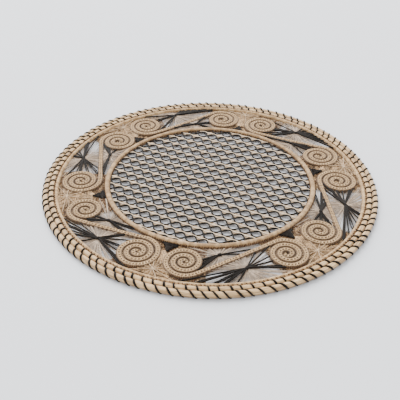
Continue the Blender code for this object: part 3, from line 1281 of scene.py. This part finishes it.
@dataclass
class Webs:
    """Dark webs on the centre ring and tan lace outside them, between two spirals."""

    ring: float = 121.0 * MM
    border: float = 173.0 * MM
    star: float = 163.5 * MM
    web_height: float = 14.0 * MM
    web_half: float = 9.0 * MM
    web_step: float = 0.62 * MM
    web_bearings: tuple[float, ...] = (3.2, -0.5, -1.4, -1.2, 1.6, 3.7)
    seam_step: float = 1.25 * MM
    seam_reach: float = 17 * MM
    ray_start: float = 14 * MM
    star_turns: tuple[float, ...] = (0, 40, 72, 96, 122, 160, 200, 232, 262, 290, 325)
    ground_lines: int = 30
    ground_space: float = 0.56
    ground_swing: float = 0.24
    ground_steps: int = 26
    half_turn: float = 17.0
    brown_shade_knots: int = 480
    tan_knots: int = 260
    chance: random.Random = field(default_factory=lambda: random.Random(41))

    def across(self, bundle: Bundle, middle: Vector, turned: float, left: float, right: float,
               height: float) -> None:
        """Adds a bowed strand that runs left on a heading and right against it."""
        bundle.ray(middle, turned, left, -right,
                   [height + 0.3 * MM * sin(pi * step / 4) for step in range(5)])

    def web(self, bundle: Bundle, bearing: float, room: Room) -> None:
        """Fills the three-cornered space on the centre ring.

        Args:
            bundle: What the strands join.
            bearing: The web's bearing.
            room: The free room round it.
        """
        step = 0.0
        while step < self.web_height:
            middle = at_bearing(self.ring + step, bearing)
            limit = self.web_half * (1 - step / self.web_height) ** 1.3 + 0.7 * MM
            turned = radians(bearing + 90 + self.chance.uniform(-9, 9))
            left, right = [min(room.reach(middle, way) + 0.5 * MM, limit)
                           * self.chance.uniform(0.75, 1.15) for way in (turned, turned + pi)]
            height = self.chance.uniform(2.6, 3.8) * MM
            self.across(bundle, middle, turned, left, right, height)
            step += self.web_step
        apex = at_bearing(self.ring + self.web_height, bearing, 4.0 * MM)
        for number in range(-4, 5):
            foot = away(at_bearing(self.ring - 0.5 * MM, bearing, 3.6 * MM),
                        radians(bearing + 90), self.web_half * number / 4.2)
            middle = (apex + foot) / 2
            middle += (at_bearing(self.ring, bearing, middle.z) - middle) * 0.22
            bundle.strand([apex, middle, foot], (0.8, 1.0, 1.0))

    def weave(self, lace: Bundle, bearing: float, room: Room) -> None:
        """Weaves the seam between two spirals, with rays that cross it.

        Args:
            lace: What the strands join.
            bearing: The seam's bearing.
            room: The free room round it.
        """
        radius = self.ring + 9 * MM
        while radius < self.border:
            middle = at_bearing(radius, bearing)
            if room.at(middle) > -1.5 * MM:
                turned = radians(bearing + 90 + self.chance.uniform(-5, 5))
                left, right = [room.reach(middle, way, self.seam_reach) + 1.0 * MM
                               for way in (turned, turned + pi)]
                if radius > self.ring + self.web_height:
                    self.across(lace, middle, turned, left, right, 2.9 * MM)
            radius += self.seam_step
        base = at_bearing(self.ring + self.web_height - 2 * MM, bearing, 3.4 * MM)
        for turn in range(-40, 41, 8):
            angle = radians(bearing + turn + self.chance.uniform(-2, 2))
            reach = room.reach(away(base, angle, self.ray_start), angle)
            length = max(reach + self.ray_start, 20 * MM)
            lace.ray(base, angle, 0.0, length,
                     [(0.5 if step % 2 else -0.3) * MM for step in range(9)], 0.9)

    def tie_star(self, star: Bundle, bearing: float, room: Room) -> None:
        """Ties a pale star near the border.

        Args:
            star: What the strands join.
            bearing: The star's bearing.
            room: The free room round it.
        """
        knot = at_bearing(self.star, bearing)
        for turn in self.star_turns:
            angle = radians(bearing + turn + self.chance.uniform(-5, 5))
            length = room.reach(knot, angle, 26 * MM) + 1.0 * MM
            star.ray(knot, angle, 0.0, length, [(5.0 - 0.25 * step) * MM for step in range(5)],
                     self.chance.uniform(0.6, 1.1))

    def ground(self, lace: Bundle, bearing: float) -> None:
        """Lays the fine ground lace that shows between the spirals and round them; its dark tone
        is partly painted shade.

        Args:
            lace: What the strands join.
            bearing: The middle of the pair.
        """
        for number in range(-self.ground_lines, self.ground_lines + 1):
            points = []
            for step in range(self.ground_steps + 1):
                radius = self.ring + (self.border - self.ring) * step / self.ground_steps
                swing = self.ground_swing if step % 2 else -self.ground_swing
                turn = bearing + number * self.ground_space + swing
                up = self.chance.uniform(0.9, 1.7) * MM
                points.append(at_bearing(radius, turn + self.chance.uniform(-0.08, 0.08), up))
            lace.strand(points)

    def knots(self, bundle: Bundle, bearing: float, low: float, count: int) -> None:
        """Scatters short knotted stitches over the ground lace. The brown ones are partly painted
        shade.

        Args:
            bundle: What the stitches join.
            bearing: The middle of the pair.
            low: The height of the lowest stitches.
            count: How many stitches there are.
        """
        for _ in range(count):
            turn = bearing + self.chance.uniform(-self.half_turn, self.half_turn)
            radius = self.chance.uniform(self.ring, self.border - 0.5 * MM)
            middle = at_bearing(radius, turn, low + self.chance.uniform(0.0, 0.5) * MM)
            heading = self.chance.uniform(0.0, TURN)
            half = self.chance.uniform(0.7, 1.2) * MM
            bundle.ray(middle, heading, -half, half, (-0.4 * MM, 0.0, -0.4 * MM))

    def build(self, scrolls: Scrolls, room: Room) -> None:
        """Builds the webs and the lace of all six pairs.

        Args:
            scrolls: The scrolls.
            room: The room that they leave.
        """
        for pair in range(PAIRS):
            number = pair + 1
            axis = FIRST_PAIR_BEARING + PAIR_STEP * pair
            sides = (scrolls.clockwise[pair], scrolls.anticlockwise[pair])
            seam = axis + sum(side.bearing_from_axis for side in sides) / 2
            near = room.near(pair, pair - 1)
            web = Bundle(f"web_strands_{number}", 0.66 * MM, 4)
            self.web(web, axis + self.web_bearings[pair], near)
            web.finish(Look.DARK, [f"inner_web_dark_{number}"])
            lace = Bundle(f"lace_strands_{number}", 0.55 * MM, 4)
            self.ground(lace, axis)
            # Brown knots: partly the lace's dark spots, partly painted shade between its strands.
            brown = Bundle(f"lace_shade_knots_{number}", 0.5 * MM, 4)
            self.knots(brown, axis, 2.6 * MM, self.brown_shade_knots)
            brown.finish(Look.STITCH)
            self.knots(lace, axis, 2.2 * MM, self.tan_knots)
            self.weave(lace, seam, near)
            lace.finish(Look.LACE)
            star = Bundle(f"star_strands_{number}", 0.5 * MM, 4)
            self.tie_star(star, seam, near)
            star.finish(Look.STAR, [f"outer_web_pale_{number}"])


# --- net


@dataclass
class Net:
    """The open net: cream bands with dark strands that cross round each opening."""

    slant: float = 27.3
    along: Vector = field(default_factory=lambda: at_bearing(13.4 * MM, -27.3))
    across: Vector = field(default_factory=lambda: at_bearing(14.0 * MM, 61.2))
    first: Vector = flat(-1.2, 4.3)
    drift_along: Vector = flat(0.017, -0.011)
    drift_both: Vector = flat(0.061, -0.045)
    drift_across: Vector = flat(0.016, 0.077)
    radius: float = 116.6 * MM
    dark_half: float = 0.86 * MM
    cord_half: float = 0.62 * MM
    lift: float = 1.2 * MM
    swings: tuple[float, float] = (0.395, 0.385)
    band_sides: int = 6
    band_wall: float = 0.9 * MM
    samples: int = 12
    rows: int = 10

    def at(self, u: float, v: float, height: float = 0.0) -> Vector:
        """A point of the net, counted in openings along and across."""
        return (self.first + u * self.along + v * self.across + u * u * self.drift_along
                + u * v * self.drift_both + v * v * self.drift_across + Vector((0, 0, height)))

    def runs(self, v_of: Callable[[float], float]) -> list[list[float]]:
        """Stretches of a row that lie inside the ring.

        Args:
            v_of: The row's place across, at each place along.

        Returns:
            Lists of places along, a sample apart.
        """
        found, current = [], []
        furthest = (self.rows + 1) * self.samples
        for step in range(-furthest, furthest + 1):
            u = step / self.samples
            point = self.at(u, v_of(u))
            if hypot(point.x, point.y) < self.radius:
                current.append(u)
            elif current:
                found.append(current)
                current = []
        return [run for run in found if len(run) > 3]

    def strand_place(self, u: float, row: int, side: int, sway: Sequence[float]) -> float:
        """Where a dark strand is across the net.

        Args:
            u: Its place along.
            row: Its row.
            side: Which of the row's two strands it is, 1 or -1.
            sway: How far it strays at each crossing.

        Returns:
            The place across.
        """
        crossing, share = divmod(u + self.rows + 2, 1)
        shift = sway[int(crossing)] * (1 - share) + sway[int(crossing) + 1] * share
        swing = side * cos(pi * u)
        return row + self.swings[swing <= 0] * swing + shift

    def strands(self) -> None:
        """Draws the dark strands, two to a row, which cross between openings."""
        bundle = Bundle("net_strands", self.dark_half, 6)
        chance = random.Random(51)
        for row in range(-self.rows, self.rows + 1):
            for side in (1, -1):
                sway = [chance.uniform(-0.035, 0.035) for _ in range(30)]
                place = partial(self.strand_place, row=row, side=side, sway=sway)
                for run in self.runs(place):
                    bundle.strand([self.at(u, place(u), self.lift
                                           + (2.0 + side * 0.35 * sin(pi * u)) * MM) for u in run])
        bundle.finish(Look.DARK)

    def band(self, shape: BMesh, row: int, run: list[float]) -> None:
        """Adds one cream band: narrow under each opening, wide between four.

        Args:
            shape: What it joins.
            row: Its row.
            run: Its places along.
        """
        edge = shape.verts.layers.float["edge"]
        made = bmesh.ops.create_grid(shape, x_segments=len(run) - 1, y_segments=self.band_sides,
                                     size=1.0, calc_uvs=True)
        for vert in made["verts"]:
            u = run[round((vert.co.x + 1) / 2 * (len(run) - 1))]
            side = vert.co.y
            wide = abs(sin(pi * u)) ** 1.5
            dome = (1 - side * side) ** 0.5 if abs(side) < 1 else 0.0
            vert.co = self.at(u, row - 0.49 - 0.02 * wide + side * (0.06 + 0.25 * wide),
                              self.lift + (1.15 + 0.4 * dome) * MM)
            # The edge weight places the band's painted shade.
            vert[edge] = abs(side)

    def bands(self) -> None:
        """Lays all the cream bands, with a map in metres along and across them."""
        shape = bmesh.new()
        shape.verts.layers.float.new("edge")
        for row in range(1 - self.rows, self.rows):
            for run in self.runs(lambda u, row=row: row - 0.47):
                self.band(shape, row, run)
        bmesh.ops.recalc_face_normals(shape, faces=shape.faces[:])
        layer = shape.loops.layers.uv.verify()
        turn = Matrix.Rotation(radians(self.slant), 3, "Z")
        for face in shape.faces:
            if face.normal.z < 0:
                face.normal_flip()
            for loop in face.loops:
                loop[layer].uv = (turn @ loop.vert.co).xy
        mesh = mesh_from(shape, "net_bands")
        piece = finished_piece("net_bands", mesh, Look.BAND, ["centre_net"])
        wall = piece.modifiers.new("wall", "SOLIDIFY")
        wall.thickness = self.band_wall
        wall.offset = -1.0

    def cords(self) -> None:
        """Lays the pale cord that runs on top of each band."""
        bundle = Bundle("net_cords", self.cord_half, 6)
        for row in range(1 - self.rows, self.rows):
            def place(u: float, row: int = row) -> float:
                """The cord's place across."""
                return row - 0.545 + 0.06 * cos(TURN * u)

            for run in self.runs(place):
                bundle.strand([self.at(u, place(u), self.lift + 1.85 * MM) for u in run])
        bundle.finish(Look.CORD)

    def build(self) -> None:
        """Builds the net's bands, cords and strands."""
        self.bands()
        self.cords()
        self.strands()


# --- studio


@dataclass
class Studio:
    """Floor, lights and camera."""

    lens: float = 56.7
    sensor: float = 36.0
    target: Vector = flat(-11.2, -34.15)
    distance: float = 0.7052
    elevation: float = 36.035
    roll: float = 0.8
    light_distance: float = 8.0
    floor_half: float = 4.0
    air: Colour = (0.98, 0.985, 1.0)
    air_strength: float = 1.4

    def floor(self) -> None:
        """Lays a wide pale floor."""
        shape = bmesh.new()
        bmesh.ops.create_grid(shape, x_segments=2, y_segments=2, size=self.floor_half)
        link_mesh("floor", mesh_from(shape, "floor"), FloorFinish().material())

    def light(self, name: str, bearing: float, height: float, size: float,
              power: float) -> None:
        """Hangs a wide soft square light that points at the mat.

        Args:
            name: The light's name.
            bearing: Where it hangs, in degrees round the mat.
            height: How high it hangs, in degrees.
            size: The length of its sides.
            power: Its power in watts.
        """
        lamp = bpy.data.lights.new(name, "AREA")
        lamp.size = size
        lamp.energy = power
        item = bpy.data.objects.new(name, lamp)
        item.location = at_bearing(self.light_distance * cos(radians(height)), bearing,
                                   self.light_distance * sin(radians(height)))
        item.rotation_euler = item.location.to_track_quat("Z", "Y").to_euler()
        bpy.context.scene.collection.objects.link(item)

    def camera(self) -> None:
        """Stands the camera."""
        angle = radians(self.elevation)
        back = Vector((0, -cos(angle), sin(angle)))
        data = bpy.data.cameras.new("camera")
        data.lens = self.lens
        data.sensor_width = self.sensor
        item = bpy.data.objects.new("camera", data)
        item.location = self.target + back * self.distance
        look = (-back).to_track_quat("-Z", "Y").to_matrix()
        look = look @ Matrix.Rotation(radians(self.roll), 3, "Z")
        item.rotation_euler = look.to_euler()
        bpy.context.scene.collection.objects.link(item)
        bpy.context.scene.camera = item

    def build(self) -> None:
        """Sets up the camera, the floor, the lights and the air."""
        self.camera()
        self.floor()
        self.light("above", 108.0, 42.0, 7.0, 1700.0)
        self.light("front", -60.0, 20.0, 4.0, 60.0)
        world = bpy.data.worlds.new("studio")
        world.use_nodes = True
        air = world.node_tree.nodes["Background"]
        air.inputs["Color"].default_value = (*self.air, 1.0)
        air.inputs["Strength"].default_value = self.air_strength
        bpy.context.scene.world = world


def main() -> None:
    """Builds every part of the mat in order."""
    logging.basicConfig(level=logging.INFO, format="%(message)s")
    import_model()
    Studio().build()
    Rim().build()
    Rings().build()
    scrolls = Scrolls()
    room = scrolls.build()
    Fans().build(room)
    Webs().build(scrolls, room)
    Net().build()


if __name__ == "__main__":
    main()
